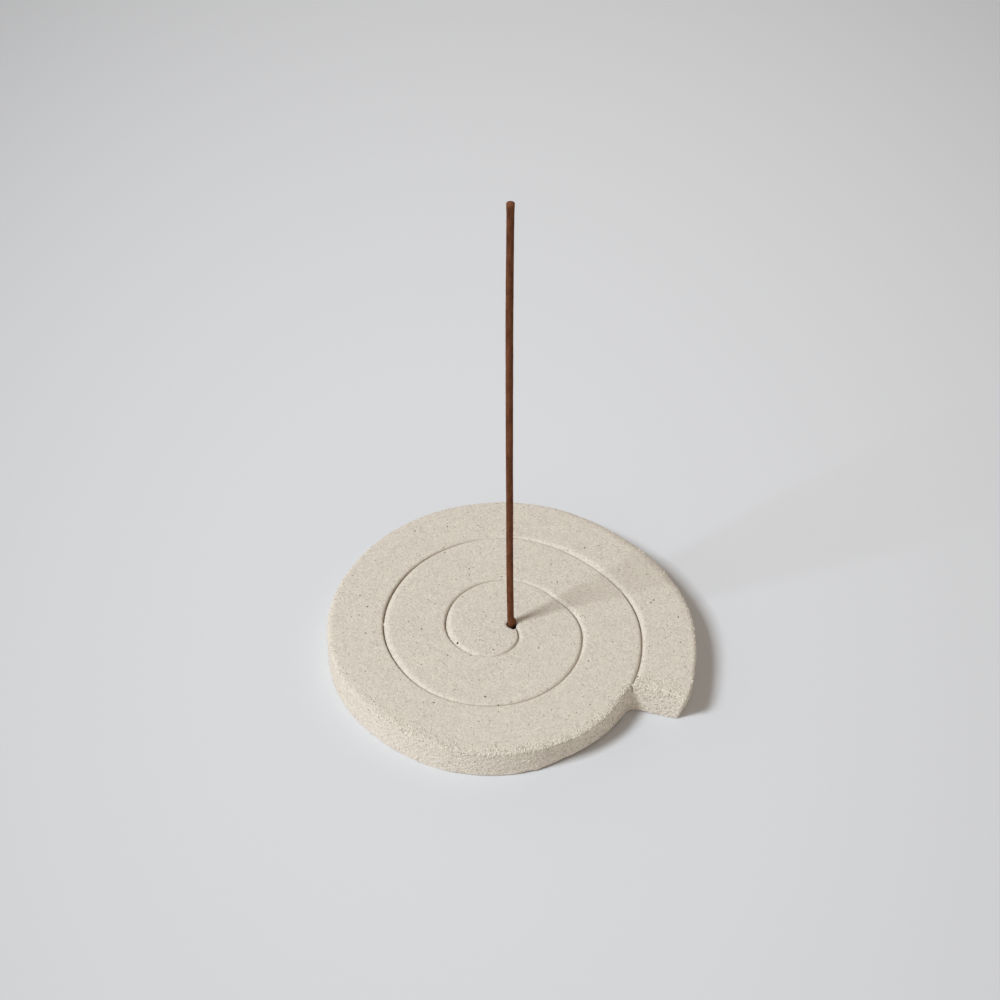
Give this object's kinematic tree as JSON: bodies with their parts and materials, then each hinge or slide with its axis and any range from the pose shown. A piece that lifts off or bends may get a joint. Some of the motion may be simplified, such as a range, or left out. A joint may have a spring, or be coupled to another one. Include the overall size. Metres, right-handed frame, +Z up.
{
  "type": "incense stick holder",
  "caption": "Flat speckled stoneware slab cut as a rolled-up spiral band, with a grooved spiral line and a central socket holding an upright incense stick.",
  "frame": {"origin": "where the socket's axis meets the underside, on the surface that the holder stands on", "axes": "+Z up along the socket and the stick, +X towards the side on which the spiral band ends in a step"},
  "size_m": [0.1004, 0.0933, 0.1496],
  "materials": {
    "stoneware": "unglazed, sandy matte with dark iron specks",
    "incense": "matte pressed powder"
  },
  "bodies": {
    "base": {"spiral_base": "stoneware"},
    "stick": {"incense_stick": "incense"}
  },
  "joints": [
    {"name": "stick_lift", "type": "slide", "parent": "base", "child": "stick", "axis": [0, 0, 1], "range_m": [0, 0.02]}
  ]
}
